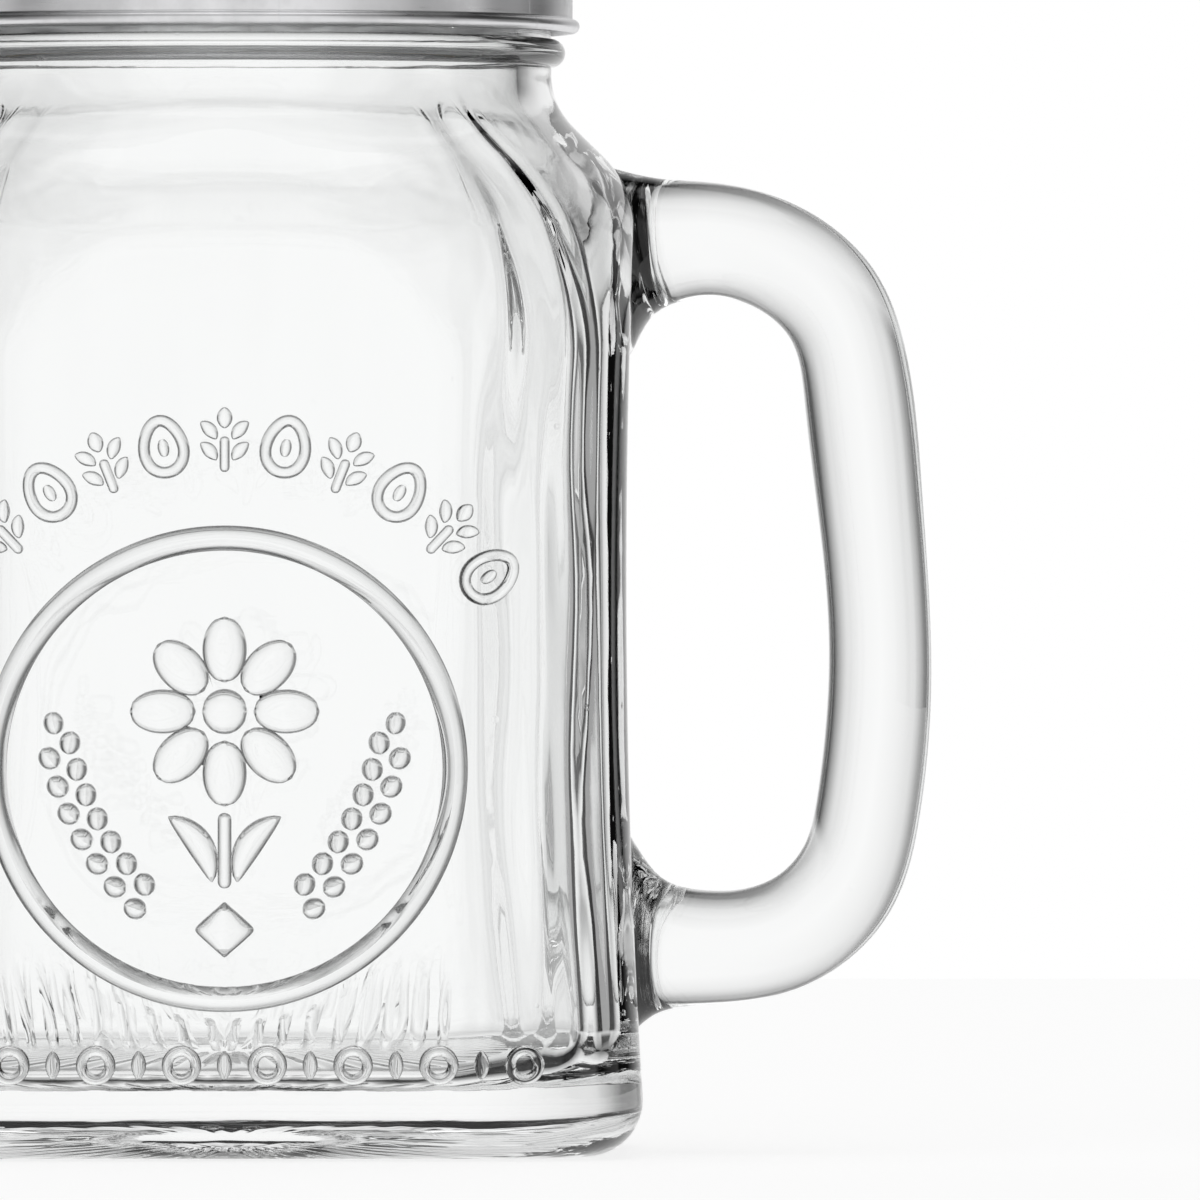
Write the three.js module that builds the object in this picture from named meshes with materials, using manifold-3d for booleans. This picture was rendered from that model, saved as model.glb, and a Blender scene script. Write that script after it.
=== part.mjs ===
// Clear pressed-glass drinking jar with a loop handle, a threaded neck and a two-piece screw closure.
// Millimetres, +Z up. The jar's axis is Z with its flat base on z = 0, the handle is on +X,
// and the decorated front panel faces -Y.

import * as THREE from 'three';
import { mergeVertices } from 'three/addons/utils/BufferGeometryUtils.js';
import Module from 'manifold-3d';

// jar body
const rimHeight = 133.35; // base to sealing rim
const waistHalfWidth = 42.2; // half of the width across two flat panels, at the waist
const waistHeight = 61;
const waistFlare = 0.00058; // half-width gained per square millimetre of height from the waist
const cornerRadius = 18; // upright corners between the panels
const heelRadius = 6; // round edge between base and panels
const panelWall = 5.6; // glass thickness of the flat panels
const floorThickness = 7;
const innerCornerRadius = 14.5;
const innerHeelRadius = 12;
const cornerTaperStart = 84; // the square section starts to turn round here
const cornerTaperEnd = 112; // and is a circle from here up
const shoulderStart = 98.5;
const shoulderRadius = 10.5;
const innerShoulderStart = 97;
const innerShoulderEnd = 114;
const neckFilletRadius = 8;

// neck finish
const neckRadius = 34.2;
const neckBore = 30.5; // inner radius of the mouth
const rimLandInner = 31.3; // flat sealing land on top of the rim
const rimLandOuter = 33.1;
const beadHeight = 117.2; // transfer bead under the thread
const beadRise = 1.5;
const threadPitch = 5.08; // single start, right hand
const jarThread = { start: 122.3, from: 0, to: 1.3, depth: 1.3, halfWidth: 1.35 };

// raised ring on the front panel
const ringHeight = 41.0;
const ringRadius = 24.1;
const ringHalfWidth = 1.15;
const ringRise = 1.3;

// handle
const handleTop = 97.4; // height of the middle of the upper arm
const handleBottom = 21.8; // and of the lower arm
const gripReach = 69.3; // jar axis to the middle of the grip
const gripThickness = 11.3;
const armThickness = 12.5;
const handleDepth = 12.8; // along Y
const rootStart = 37; // the middle line starts inside the jar wall
const innerFillet = 5.6; // where an arm meets the jar, on the side of the finger gap
const outerFillet = 1.6;
const castGap = 0.3; // clearance between solids that touch

// closure
const sheet = 0.45; // tinplate gauge, with its coating
const discRadius = 33.9;
const discStepRadius = 29.8; // the middle of the disc sits inside this step
const discStepDepth = 0.8;
const sealInner = 31.0;
const sealOuter = 33.1;
const sealThickness = 0.8;
const bandOuter = 36.5;
const bandWall = 0.6;
const bandHeight = 16.8;
const bandBore = 29.6; // hole in the top of the band
const bandRoll = 0.75; // radius of the rolled bottom edge
const bandThread = { start: jarThread.start - 1.8, from: 0.35, to: 1.6, depth: 1.3, halfWidth: 1.0 };

const around = 48; // facets round every turned piece

const clearGlass = { color: 0xf2f6f5, roughness: 0.03, metalness: 0 };
const discTin = { color: 0xc9cacb, roughness: 0.26, metalness: 1 };
const bandTin = { color: 0xbfc0c1, roughness: 0.33, metalness: 1 };
const softSeal = { color: 0xb8a58c, roughness: 0.6, metalness: 0 };

const wasm = await Module();
wasm.setup();

// ---------- shared helpers

function smoothStep(low, high, value) {
  const t = THREE.MathUtils.clamp((value - low) / (high - low), 0, 1);
  return t * t * (3 - 2 * t);
}

function point(x, y) {
  return new THREE.Vector2(x, y);
}

// Points on an arc between two angles, with both ends.
function arc(centreX, centreY, radius, from, to, steps) {
  return Array.from({ length: steps + 1 }, (_, i) => {
    const a = from + ((to - from) * i) / steps;
    return point(centreX + radius * Math.cos(a), centreY + radius * Math.sin(a));
  });
}

// Points along a straight upright wall, with both ends.
function wall(radius, from, to, steps) {
  return Array.from({ length: steps + 1 }, (_, i) => point(radius, from + ((to - from) * i) / steps));
}

// Distance from the centre of a rounded square to its edge, in the direction of an angle.
function roundedSquareRadius(angle, halfWidth, corner) {
  const quarter = Math.PI / 2;
  const turn = ((angle % quarter) + quarter) % quarter;
  const a = Math.min(turn, quarter - turn);
  const flatEnd = halfWidth - corner;
  if (Math.tan(a) * halfWidth <= flatEnd) return halfWidth / Math.cos(a);
  const along = flatEnd * (Math.cos(a) + Math.sin(a));
  const across = flatEnd * (Math.cos(a) - Math.sin(a));
  return along + Math.sqrt(corner * corner - across * across);
}

// Rise of a right-hand screw thread at an angle and a height: a rounded ridge that follows a
// helix and fades out at its two ends.
function threadRise(angle, height, thread) {
  const turn = angle / (2 * Math.PI);
  const along = turn + Math.round((height - thread.start) / threadPitch - turn);
  const offset = Math.abs(height - thread.start - along * threadPitch) / thread.halfWidth;
  const fadeIn = smoothStep(thread.from - 0.06, thread.from + 0.06, along);
  const fadeOut = 1 - smoothStep(thread.to - 0.06, thread.to + 0.06, along);
  return thread.depth * fadeIn * fadeOut * (1 - smoothStep(0.3, 1, offset));
}

// A turned solid about Z. reshape(angle, radius, height) gives each point its own radius.
function turned(profile, reshape) {
  const geometry = new THREE.LatheGeometry(profile, around).rotateX(Math.PI / 2);
  const position = geometry.attributes.position;
  for (let i = 0; reshape && i < position.count; i += 1) {
    const x = position.getX(i);
    const y = position.getY(i);
    const radius = Math.hypot(x, y);
    const factor = radius < 1e-6 ? 1 : reshape(Math.atan2(y, x), radius, position.getZ(i)) / radius;
    position.setX(i, x * factor);
    position.setY(i, y * factor);
  }
  return geometry;
}

function toSolid(geometry) {
  const bare = geometry.clone();
  bare.deleteAttribute('normal');
  bare.deleteAttribute('uv');
  const merged = mergeVertices(bare, 1e-4);
  const index = merged.index.array;
  const triangles = [];
  for (let i = 0; i < index.length; i += 3) {
    const [a, b, c] = [index[i], index[i + 1], index[i + 2]];
    if (a !== b && b !== c && c !== a) triangles.push(a, b, c);
  }
  return new wasm.Manifold(new wasm.Mesh({
    numProp: 3,
    vertProperties: new Float32Array(merged.attributes.position.array),
    triVerts: new Uint32Array(triangles),
  }));
}

function toGeometry(solid) {
  const mesh = solid.getMesh();
  const geometry = new THREE.BufferGeometry();
  geometry.setAttribute('position', new THREE.BufferAttribute(mesh.vertProperties, 3));
  geometry.setIndex(new THREE.BufferAttribute(mesh.triVerts, 1));
  geometry.computeVertexNormals();
  return geometry;
}

function part(name, geometry, finish) {
  const mesh = new THREE.Mesh(geometry, new THREE.MeshStandardMaterial(finish));
  mesh.name = name;
  return mesh;
}

// ---------- glass body

// Half-width of the panels: a shallow waist between the heel and the shoulder.
function panelHalfWidth(height) {
  return waistHalfWidth + waistFlare * (height - waistHeight) ** 2;
}

// The upright corners open out with height until the section is a circle.
function cornerAt(height, halfWidth, corner) {
  const inset = height < heelRadius ? panelHalfWidth(heelRadius) - halfWidth : 0;
  const upright = Math.max(corner - inset, 4);
  const open = smoothStep(cornerTaperStart, cornerTaperEnd, height);
  return Math.min(THREE.MathUtils.lerp(upright, halfWidth, open), halfWidth);
}

// Outer profile of a panel, from the centre of the base up to the foot of the neck.
function panelProfile() {
  const heel = panelHalfWidth(heelRadius) - heelRadius;
  const shoulder = panelHalfWidth(shoulderStart);
  const slope = Math.PI / 4;
  const crest = arc(shoulder - shoulderRadius, shoulderStart, shoulderRadius, 0, slope, 5);
  const crestEnd = crest[crest.length - 1];
  const inset = neckFilletRadius * (1 - Math.cos(slope));
  const filletStart = crestEnd.y + crestEnd.x - neckRadius - inset;
  const filletEnd = filletStart + neckFilletRadius * Math.sin(slope);
  return [
    point(0, 0),
    point(heel / 2, 0),
    ...arc(heel, heelRadius, heelRadius, -Math.PI / 2, 0, 5),
    ...[14, 24, 36, 48, 61, 74, 84, 91].map((z) => point(panelHalfWidth(z), z)),
    ...crest,
    ...arc(neckRadius + neckFilletRadius, filletEnd, neckFilletRadius, Math.PI + slope, Math.PI, 4),
  ];
}

// The neck: bead, thread zone and rounded edge, up to the sealing land and in to the axis.
function neckProfile() {
  const edge = neckRadius - rimLandOuter;
  return [
    ...arc(neckRadius, beadHeight, beadRise, -Math.PI / 2, Math.PI / 2, 6),
    ...wall(neckRadius, beadHeight + beadRise, rimHeight - edge - 1, 17).slice(1),
    ...arc(rimLandOuter, rimHeight - edge, edge, 0, Math.PI / 2, 3),
    point(0, rimHeight),
  ];
}

// The cavity, from the centre of its floor up through the mouth.
function cavityProfile() {
  const lip = rimLandInner - neckBore;
  const halfWidth = (z) => panelHalfWidth(z) - panelWall;
  const bottom = floorThickness + innerHeelRadius;
  const bend = halfWidth(bottom) - innerHeelRadius;
  const neckFoot = [0.2, 0.4, 0.6, 0.8, 1].map((t) => point(
    THREE.MathUtils.lerp(halfWidth(innerShoulderStart), neckBore, smoothStep(0, 1, t)),
    THREE.MathUtils.lerp(innerShoulderStart, innerShoulderEnd, t),
  ));
  return [
    point(0, floorThickness),
    point(bend / 2, floorThickness),
    ...arc(bend, bottom, innerHeelRadius, -Math.PI / 2, 0, 5),
    ...[26, 36, 48, 61, 74, 84, 91, innerShoulderStart].map((z) => point(halfWidth(z), z)),
    ...neckFoot,
    ...arc(rimLandInner, rimHeight - lip, lip, Math.PI, Math.PI / 2, 3),
    point(rimLandInner, rimHeight + 2),
    point(0, rimHeight + 2),
  ];
}

function outerSolid(grow) {
  return toSolid(turned([...panelProfile(), ...neckProfile()], (angle, radius, height) => {
    const threaded = radius > neckRadius - 0.01 && height > beadHeight + beadRise;
    const ridge = threaded ? threadRise(angle, height, jarThread) : 0;
    return roundedSquareRadius(angle, radius, cornerAt(height, radius, cornerRadius)) + ridge + grow;
  }));
}

function cavitySolid() {
  return toSolid(turned(cavityProfile(), (angle, radius, height) =>
    roundedSquareRadius(angle, radius, cornerAt(height, radius, innerCornerRadius))));
}

// A low rounded ring, half sunk in the front panel, which it follows.
function frontRing() {
  const section = Array.from({ length: 11 }, (_, i) => {
    const a = ((i % 10) / 10) * 2 * Math.PI;
    return point(ringRadius + ringHalfWidth * Math.cos(a), ringRise * Math.sin(a));
  });
  const ring = new THREE.LatheGeometry(section, around).translate(0, 0, ringHeight);
  const position = ring.attributes.position;
  for (let i = 0; i < position.count; i += 1) {
    position.setY(i, position.getY(i) - panelHalfWidth(position.getZ(i)));
  }
  return toSolid(ring);
}

function glassBody() {
  return toGeometry(outerSolid(0).subtract(cavitySolid()).add(frontRing()));
}

// ---------- glass handle

// Middle line of the handle in the XZ plane, from inside the upper root to inside the lower one.
function handleLine() {
  const bends = [
    [rootStart, handleTop],
    [46, handleTop],
    [54, handleTop - 0.5],
    [60.2, handleTop - 3.2],
    [64.6, handleTop - 8.4],
    [66.6, handleTop - 15],
    [68, 72],
    [gripReach, 58],
    [gripReach, 46],
    [68.2, 36.5],
    [65.3, handleBottom + 7.2],
    [60.2, handleBottom + 2.6],
    [53.5, handleBottom + 0.3],
    [46, handleBottom],
    [rootStart, handleBottom],
  ];
  const points = bends.map(([x, z]) => new THREE.Vector3(x, 0, z));
  return new THREE.CatmullRomCurve3(points, false, 'centripetal');
}

// An oval bar bent onto the middle line, slimmer in the grip and filleted where it meets the jar.
function handleBar() {
  const line = handleLine();
  const length = line.getLength();
  const oval = new THREE.Shape(Array.from({ length: 16 }, (_, i) => {
    const a = (i / 16) * 2 * Math.PI;
    const full = (v) => Math.sign(v) * Math.abs(v) ** 0.8;
    return point(full(Math.cos(a)), full(Math.sin(a)));
  }));
  const bar = new THREE.ExtrudeGeometry(oval, { depth: 1, steps: 44, bevelEnabled: false });
  const position = bar.attributes.position;
  for (let i = 0; i < position.count; i += 1) {
    const step = position.getZ(i);
    const share = step - (0.6 * Math.sin(2 * Math.PI * step)) / (2 * Math.PI);
    const fromJar = Math.min(share, 1 - share) * length - (waistHalfWidth - rootStart);
    const near = THREE.MathUtils.clamp(1 - fromJar / innerFillet, 0, 1);
    const fillet = 1 - Math.sqrt(1 - near * near);
    const slim = smoothStep(5, 30, fromJar) * (armThickness - gripThickness);
    const across = position.getX(i);
    const grow = (across < 0 ? innerFillet : outerFillet) * fillet;
    const outward = across * ((armThickness - slim) / 2 + grow);
    const middle = line.getPointAt(share);
    const along = line.getTangentAt(share);
    const depth = handleDepth / 2 + outerFillet * fillet;
    position.setXYZ(i, middle.x - along.z * outward, -position.getY(i) * depth, middle.z + along.x * outward);
  }
  return toSolid(bar);
}

function glassHandle() {
  return toGeometry(handleBar().subtract(outerSolid(castGap)));
}

// ---------- closure

const sealBottom = rimHeight + castGap;
const channelUnder = sealBottom + sealThickness + castGap; // underside of the disc over the seal
const flangeUnder = channelUnder + sheet + castGap; // underside of the top of the band

// A soft ring of rounded section that lies on the sealing land.
function sealingRing() {
  const soft = sealThickness / 2;
  const section = [
    ...arc(sealOuter - soft, sealBottom + soft, soft, -Math.PI / 2, Math.PI / 2, 4),
    ...arc(sealInner + soft, sealBottom + soft, soft, Math.PI / 2, (3 * Math.PI) / 2, 4),
  ];
  return turned([...section, section[0].clone()]);
}

// A sheet disc: a sunk middle, a step, a channel over the seal and a turned-down edge.
function lidDisc() {
  const panelUnder = channelUnder - discStepDepth;
  const underside = [
    point(0, panelUnder),
    point(14, panelUnder),
    point(discStepRadius - discStepDepth, panelUnder),
    point(discStepRadius + 0.4, channelUnder),
    point(discRadius - sheet, channelUnder),
    point(discRadius - sheet, channelUnder - sealThickness),
  ];
  const topside = [
    point(discRadius, channelUnder - sealThickness),
    point(discRadius, channelUnder + sheet - 0.2),
    point(discRadius - 0.2, channelUnder + sheet),
    point(discStepRadius + 0.3, channelUnder + sheet),
    point(discStepRadius - discStepDepth - 0.1, panelUnder + sheet),
    point(14, panelUnder + sheet),
    point(0, panelUnder + sheet),
  ];
  return turned([...underside, ...topside]);
}

// A sheet band with a flat top flange, a rolled-in thread and a rolled-out bottom edge.
function screwBand() {
  const top = flangeUnder + bandWall;
  const bottom = top - bandHeight;
  const inside = bandOuter - bandWall;
  const bend = 1.4; // outer radius of the bend between wall and flange
  const rollMiddle = bottom + bandRoll;
  const outerWall = wall(bandOuter, bottom + 2 * bandRoll, top - bend, 16);
  const innerWall = wall(inside, rollMiddle, top - bend, 16).reverse();
  const section = [
    ...arc(bandOuter, rollMiddle, bandRoll, -Math.PI / 2, Math.PI / 3, 4),
    ...outerWall,
    ...arc(bandOuter - bend, top - bend, bend, 0, Math.PI / 2, 3).slice(1),
    point(bandBore, top),
    point(bandBore, flangeUnder),
    ...arc(bandOuter - bend, top - bend, bend - bandWall, 0, Math.PI / 2, 2).slice(1).reverse(),
    ...innerWall,
    point(bandOuter - bandWall / 2, bottom),
  ];
  return turned([...section, section[0].clone()], (angle, radius, height) =>
    radius - (radius > inside - 0.01 ? threadRise(angle, height, bandThread) : 0));
}

// ---------- the assembly

const jar = new THREE.Group();
jar.add(part('glass_body', glassBody(), clearGlass));
jar.add(part('glass_handle', glassHandle(), clearGlass));

const lid = new THREE.Group();
lid.add(part('lid_disc', lidDisc(), discTin));
lid.add(part('sealing_ring', sealingRing(), softSeal));
lid.add(part('screw_band', screwBand(), bandTin));

const drinkingJar = new THREE.Group();
drinkingJar.add(jar, lid);

export default drinkingJar;
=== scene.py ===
# Clear pressed-glass drinking jar with a loop handle and a two-piece screw lid.
# The jar stands on z = 0 with its handle on +X and its decorated panel facing -Y. Sizes are in
# millimetres and angles in radians, except where a note says otherwise.
from math import pi, radians

import bpy
import numpy as np
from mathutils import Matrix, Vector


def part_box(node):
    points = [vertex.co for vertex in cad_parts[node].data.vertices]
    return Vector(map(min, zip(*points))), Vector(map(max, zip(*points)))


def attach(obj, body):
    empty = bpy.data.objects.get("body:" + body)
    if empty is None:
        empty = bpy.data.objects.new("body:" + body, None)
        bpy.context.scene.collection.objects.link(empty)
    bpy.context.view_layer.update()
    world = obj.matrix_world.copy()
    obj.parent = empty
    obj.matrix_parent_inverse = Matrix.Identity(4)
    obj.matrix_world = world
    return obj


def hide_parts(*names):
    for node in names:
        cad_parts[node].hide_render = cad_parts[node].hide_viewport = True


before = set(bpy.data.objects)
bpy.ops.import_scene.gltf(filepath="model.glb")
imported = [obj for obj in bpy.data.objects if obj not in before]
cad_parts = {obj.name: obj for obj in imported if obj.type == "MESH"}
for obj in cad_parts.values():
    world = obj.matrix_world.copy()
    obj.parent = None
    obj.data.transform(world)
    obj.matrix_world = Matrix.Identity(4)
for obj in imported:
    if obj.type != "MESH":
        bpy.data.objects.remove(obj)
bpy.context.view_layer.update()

mm = 0.001
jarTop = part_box("glass_body")[1].z / mm      # the sealing rim
bandLow, bandHigh = (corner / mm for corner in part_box("screw_band"))
discLow, discHigh = (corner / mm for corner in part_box("lid_disc"))
sealLow, sealHigh = (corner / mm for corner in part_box("sealing_ring"))


# small helpers for surfaces

def smoothStep(low, high, value):
    # 3t^2 - 2t^3 between two values
    t = np.clip((value - low) / (high - low), 0, 1)
    return t * t * (3 - 2 * t)


def evenAngles(count):
    # even steps round a full turn, without its end
    return np.arange(count) * 2 * pi / count


def signedPower(value, power):
    # |v|^p with the sign of v
    return np.sign(value) * np.abs(value) ** power


def arcPoints(cx, cz, radius, start, end, count):
    # x = cx + r cos a, z = cz + r sin a, for a from start to end
    a = np.linspace(start, end, count)
    return np.column_stack([cx + radius * np.cos(a), cz + radius * np.sin(a)])


def linePoints(start, end, count):
    # straight run between two points, without its first point
    t = np.linspace(0, 1, count + 1)[1:, None]
    return np.array(start, float) * (1 - t) + np.array(end, float) * t


def splinePoints(points, count):
    # natural cubic spline through a few points, spaced by chord length: solves for the second
    # derivatives m, then each span is a p0 + b p1 + ((a^3 - a) m0 + (b^3 - b) m1) h^2 / 6, where a
    # runs from 1 to 0 and b from 0 to 1
    p = np.array(points, float)
    s = np.concatenate([[0], np.cumsum(np.linalg.norm(np.diff(p, axis=0), axis=1))])
    h = np.diff(s)
    n = len(p)
    system = np.eye(n)
    right = np.zeros_like(p)
    k = np.arange(1, n - 1)
    system[k, k - 1] = h[k - 1]
    system[k, k] = 2 * (h[k - 1] + h[k])
    system[k, k + 1] = h[k]
    right[k] = 6 * ((p[k + 1] - p[k]) / h[k][:, None] - (p[k] - p[k - 1]) / h[k - 1][:, None])
    m = np.linalg.solve(system, right)
    u = np.linspace(0, s[-1], count) if np.isscalar(count) else np.asarray(count) * s[-1]
    i = np.clip(np.searchsorted(s, u, side="right") - 1, 0, n - 2)
    a = ((s[i + 1] - u) / h[i])[:, None]
    b = ((u - s[i]) / h[i])[:, None]
    bow = ((a ** 3 - a) * m[i] + (b ** 3 - b) * m[i + 1]) * (h[i] ** 2)[:, None] / 6
    return a * p[i] + b * p[i + 1] + bow


def makeObject(name, points, faces):
    # a smooth mesh object at the origin from points in millimetres
    mesh = bpy.data.meshes.new(name)
    mesh.from_pydata(np.reshape(points, (-1, 3)) * mm, [], faces)
    mesh.update()
    mesh.shade_smooth()
    obj = bpy.data.objects.new(name, mesh)
    bpy.context.scene.collection.objects.link(obj)
    return obj


def gridFaces(rows, columns, closeRows=False):
    # quads of a rows x columns grid whose last column meets the first, and with closeRows its last
    # row too
    r = np.arange(rows if closeRows else rows - 1)[:, None]
    c = np.arange(columns)[None, :]
    r1 = (r + 1) % rows
    c1 = (c + 1) % columns
    quads = np.stack([r * columns + c, r * columns + c1, r1 * columns + c1, r1 * columns + c], -1)
    return quads.reshape(-1, 4)


def capped(points):
    # a rows x columns grid whose first and last rows shrink to single pole points
    rows, columns = points.shape[:2]
    body = points[1:-1].reshape(-1, 3)
    poles = np.array([points[0].mean(0), points[-1].mean(0)])
    inner = gridFaces(rows - 2, columns).tolist()
    first = np.arange(columns)
    second = (first + 1) % columns
    low = len(body)
    base = (rows - 3) * columns
    startFan = np.column_stack([np.full(columns, low), second, first]).tolist()
    endFan = np.column_stack([np.full(columns, low + 1), base + first, base + second]).tolist()
    return np.vstack([body, poles]), inner + startFan + endFan


# the jar's outer and inner surface

jar = {
    "waist": 42.2, "waistHeight": 61, "flare": 0.00058,   # half-width = waist + flare (z - height)^2
    "corner": 18, "leastCorner": 4, "heel": 6, "wall": 5.6, "floor": 7,
    "innerCorner": 14.5, "innerHeel": 6.5,
    "heelPower": 0.86,            # under 1 the inner heel eases into wall and floor
    "taper": (84, 112),           # heights between which the square opens out to a circle
    "shoulder": (98.5, 10.5),     # height and radius of the round
    "innerShoulder": (97, 114),   # heights of its two ends
    "neck": 34.2, "neckFillet": 8, "bore": 30.5,
    "land": (31.3, 33.1),         # radii of the flat sealing rim
    "bead": (117.2, 1.5),         # height and radius of the bead round the neck
    "around": 288, "crowding": 0.08,      # columns round the jar, drawn together at its corners
    "pushUp": (1.3, 4, 28),               # hollow of the base: rise, then the radii where it fades
    "flutes": (52, 0.6, 12, 37.5),        # under the base: count, depth and the two radii
    "seed": 8,
    # waves round the inside and their height
    "streaks": [(26, 0.16), (37, 0.12), (53, 0.085), (71, 0.05), (92, 0.022)],
    "streakMask": (0.92, 0.985),          # of |sin 2a|, which is 1 at the middle of each corner
    "streakOnFlats": 0.05,                # share that is left of the streaks on the flats
    "streakDrift": (110, 12, 37),         # lengths up the wall: slow, its spread, quick
    # waves round the inside, length up the wall and height
    "swells": [(3, 31, 0.035), (5, 22, 0.03), (8, 17, 0.025), (11, 41, 0.03)],
    "calmFrom": (104, 114),               # heights between which the waves die out
    "sharpEdge": 38,                      # degrees
}
screwThread = {
    "pitch": 5.08, "fade": 0.06,          # fade: turns over which each end runs out
    "flatShare": 0.3,                     # of the ridge's half width
    "jarStart": 122.3, "jarTurns": (0, 1.3), "jarDepth": 1.3, "jarHalf": 1.35,
    "bandTurns": (0.35, 1.6), "bandDepth": 1.3, "bandHalf": 1.0, "drop": 1.8,
}


def panelHalfWidth(z):
    # a parabola in height that opens upwards and downwards from the waist
    return jar["waist"] + jar["flare"] * (z - jar["waistHeight"]) ** 2


def roundedSquare(angle, half, corner):
    # polar radius of a square with round corners: half / cos a on the flats, and on a corner the
    # far crossing of the ray with the corner circle
    a = np.mod(angle, pi / 2)
    a = np.minimum(a, pi / 2 - a)
    flat = half - corner
    along = flat * (np.cos(a) + np.sin(a))
    across = flat * (np.cos(a) - np.sin(a))
    bend = along + np.sqrt(np.maximum(corner ** 2 - across ** 2, 0))
    return np.where(np.tan(a) * half <= flat, half / np.cos(a), bend)


def cornerAt(z, half, corner):
    # radius of the upright corner: smaller by as much as the heel draws in, and opened to the whole
    # half width between the taper's heights, where the plan becomes a circle
    inset = np.where(z < jar["heel"], panelHalfWidth(jar["heel"]) - half, 0)
    upright = np.maximum(corner - inset, jar["leastCorner"])
    opened = upright + (half - upright) * smoothStep(*jar["taper"], z)
    return np.minimum(opened, half)


def threadRise(angle, z, start, turns, depth, halfWidth):
    # a rounded ridge on the helix z = start + pitch * turn, faded out at its two ends: depth times a
    # smooth step down from the flat of the crest to the half width
    turn, runOut = angle / (2 * pi), screwThread["fade"]
    along = turn + np.round((z - start) / screwThread["pitch"] - turn)
    offset = np.abs(z - start - along * screwThread["pitch"]) / halfWidth
    fade = smoothStep(turns[0] - runOut, turns[0] + runOut, along)
    fade = fade * (1 - smoothStep(turns[1] - runOut, turns[1] + runOut, along))
    return depth * fade * (1 - smoothStep(screwThread["flatShare"], 1, offset))


def wallWaves(angle, z):
    # the uneven inner wall left by the plunger and the blow: long streaks down the four corners,
    # each a sine round the jar whose phase drifts with height, and low swells everywhere
    rng = np.random.default_rng(jar["seed"])
    corner = smoothStep(*jar["streakMask"], np.abs(np.sin(2 * angle)))
    slow, spread, quick = jar["streakDrift"]
    streak, swell = 0 * (angle + z), 0 * (angle + z)
    for count, height in jar["streaks"]:
        start, drift, lean = rng.uniform(0, 2 * pi, 3)
        phase = 1.1 * np.sin(2 * pi * z / (slow + spread * lean) + drift)
        phase = phase + 0.4 * np.sin(2 * pi * z / quick + lean)
        streak = streak + height * np.sin(count * angle + start + phase)
    for count, length, height in jar["swells"]:
        start, drift = rng.uniform(0, 2 * pi, 2)
        swell = swell + height * np.sin(count * angle + start) * np.sin(2 * pi * z / length + drift)
    flats = jar["streakOnFlats"]
    calm = (1 - smoothStep(*jar["calmFrom"], z)) * smoothStep(jar["floor"], jar["floor"] + 6, z)
    return (streak * (flats + (1 - flats) * corner) + swell) * calm


def baseFlutes(angle, radius):
    # rounded hollows round the bearing ring: depth * sin^2 across each, faded at both radii
    count, depth, inner, outer = jar["flutes"]
    ring = smoothStep(inner, inner + 3, radius) * (1 - smoothStep(outer - 2.5, outer, radius))
    return depth * ring * np.sin(count * angle / 2) ** 2


def outerRows():
    # profile of the outer surface as radius and height, from the middle of the base up to the rim:
    # hollow, bearing round, bowed panel, shoulder round, straight slope, neck fillet, bead, thread
    # zone and lip; the slope leaves the shoulder and enters the fillet at 45 degrees
    heel = panelHalfWidth(jar["heel"]) - jar["heel"]
    shoulderZ, shoulderR = jar["shoulder"]
    shoulder = panelHalfWidth(shoulderZ)
    crest = arcPoints(shoulder - shoulderR, shoulderZ, shoulderR, 0, pi / 4, 15)
    inset = jar["neckFillet"] * (1 - np.cos(pi / 4))
    filletStart = crest[-1, 1] + crest[-1, 0] - jar["neck"] - inset
    filletEnd = filletStart + jar["neckFillet"] * np.sin(pi / 4)
    beadZ, beadR = jar["bead"]
    edge = jar["neck"] - jar["land"][1]
    panelZ = np.concatenate([np.linspace(9, 78, 18), np.linspace(80, 97, 12)])
    under = np.concatenate([[0.01], np.linspace(5, 27, 12), np.linspace(28.5, heel - 1, 12)])
    pushUp, near, far = jar["pushUp"]
    return np.vstack([
        np.column_stack([under, pushUp * (1 - smoothStep(near, far, under))]),
        arcPoints(heel, jar["heel"], jar["heel"], -pi / 2, 0, 10),
        np.column_stack([panelHalfWidth(panelZ), panelZ]),
        crest,
        linePoints(crest[-1], (jar["neck"] + inset, filletStart), 4)[:-1],
        arcPoints(jar["neck"] + jar["neckFillet"], filletEnd, jar["neckFillet"], 1.25 * pi, pi, 9),
        arcPoints(jar["neck"], beadZ, beadR, -pi / 2, pi / 2, 11),
        linePoints((jar["neck"], beadZ + beadR), (jar["neck"], jarTop - edge - 0.4), 42),
        arcPoints(jar["land"][1], jarTop - edge, edge, 0, pi / 2, 6),
    ])


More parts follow.
